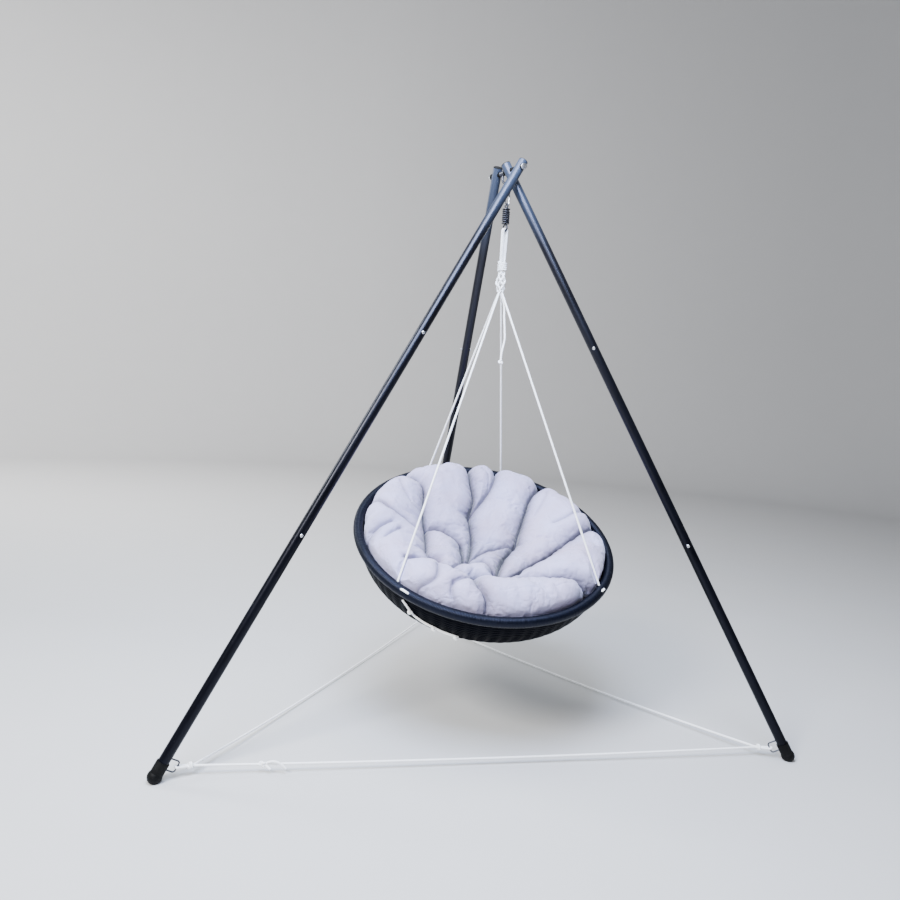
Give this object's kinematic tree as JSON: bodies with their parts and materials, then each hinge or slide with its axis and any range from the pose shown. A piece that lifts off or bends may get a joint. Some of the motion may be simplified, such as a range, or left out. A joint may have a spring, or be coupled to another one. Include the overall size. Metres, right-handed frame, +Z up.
{
  "type": "bowl-shaped hanging chair on a tripod stand",
  "caption": "Round woven bowl seat with a tufted cushion, hung by ropes, a spring and a carabiner from a three-legged tube stand whose feet are tied together by a rope.",
  "frame": {"origin": "on the floor, in the middle of the footprint of the three feet", "axes": "+X to the right of someone facing the open side of the bowl, +Y from the open side to the rear leg, +Z up"},
  "size_m": [2.366, 1.8639, 2.2601],
  "materials": {
    "frame_paint": "semi-gloss powder coat",
    "rubber": "matt moulded",
    "bright_steel": "zinc plated",
    "dark_steel": "dark coated steel",
    "wicker": "wound and woven plastic rattan",
    "rope": "twisted synthetic rope",
    "cushion_cloth": "soft matt cloth, puffed and tufted"
  },
  "bodies": {
    "stand": {"left_lower_tube": "frame_paint", "left_middle_tube": "frame_paint", "left_upper_tube": "frame_paint", "left_foot_cap": "rubber", "left_top_plug": "rubber", "left_rope_bracket": "dark_steel", "right_lower_tube": "frame_paint", "right_middle_tube": "frame_paint", "right_upper_tube": "frame_paint", "right_foot_cap": "rubber", "right_top_plug": "rubber", "right_rope_bracket": "dark_steel", "rear_lower_tube": "frame_paint", "rear_middle_tube": "frame_paint", "rear_upper_tube": "frame_paint", "rear_foot_cap": "rubber", "rear_top_plug": "rubber", "rear_rope_bracket": "dark_steel", "leg_joint_screws": "bright_steel", "leg_joint_nuts": "bright_steel", "apex_bolt": "bright_steel", "apex_cap_nut": "bright_steel", "apex_washers": "bright_steel", "apex_saddle_spacers": "rubber", "rope_bights": "rope", "ground_rope_front": "rope", "ground_rope_left": "rope", "ground_rope_right": "rope", "ground_rope_knot": "rope", "ground_rope_long_tail": "rope", "ground_rope_short_tail": "rope"},
    "hanger": {"swing_hanger": "dark_steel"},
    "carabiner": {"carabiner_body": "bright_steel", "carabiner_pin": "dark_steel", "spring_upper_eye": "dark_steel", "suspension_spring": "dark_steel"},
    "gate": {"carabiner_gate": "bright_steel"},
    "spring_end": {"spring_lower_socket": "dark_steel"},
    "bowl": {"swivel_hook": "dark_steel", "rope_loops": "rope", "gathering_knot": "rope", "rope_braid": "rope", "front_left_rope": "rope", "front_right_rope": "rope", "back_left_rope": "rope", "back_right_rope": "rope", "hanging_tail": "rope", "hanging_tail_knot": "rope", "rim_tube": "dark_steel", "rim_wrap": "wicker", "rim_stitches": "rope", "bowl_ribs": "dark_steel", "hub_ring": "dark_steel", "base_ring": "wicker", "woven_shell": "wicker", "under_rope": "rope", "under_rope_knots": "rope", "cushion": "cushion_cloth"}
  },
  "joints": [
    {"name": "swing_side", "type": "hinge", "parent": "stand", "child": "hanger", "pos_m": [0, -0.42003, 2.222], "axis": [-0.3746, 0.9272, 0], "range_deg": [-6, 6]},
    {"name": "swing_fore_aft", "type": "hinge", "parent": "hanger", "child": "carabiner", "pos_m": [0, -0.42003, 2.1355], "axis": [0.9272, 0.3746, 0], "range_deg": [-6, 6]},
    {"name": "gate_open", "type": "hinge", "parent": "carabiner", "child": "gate", "pos_m": [-0.0102, -0.42416, 2.1025], "axis": [-0.3746, 0.9272, 0], "range_deg": [0, 16], "stiffness_Nm_per_rad": 0.02, "springref_deg": -5.73},
    {"name": "bounce", "type": "slide", "parent": "carabiner", "child": "spring_end", "axis": [0, 0, -1], "range_m": [-0.008, 0.03], "stiffness_N_per_m": 20000, "springref_m": -0.03126, "deforming": ["suspension_spring"]},
    {"name": "swivel", "type": "hinge", "parent": "spring_end", "child": "bowl", "pos_m": [0, -0.42003, 2], "axis": [0, 0, 1], "continuous": true}
  ]
}
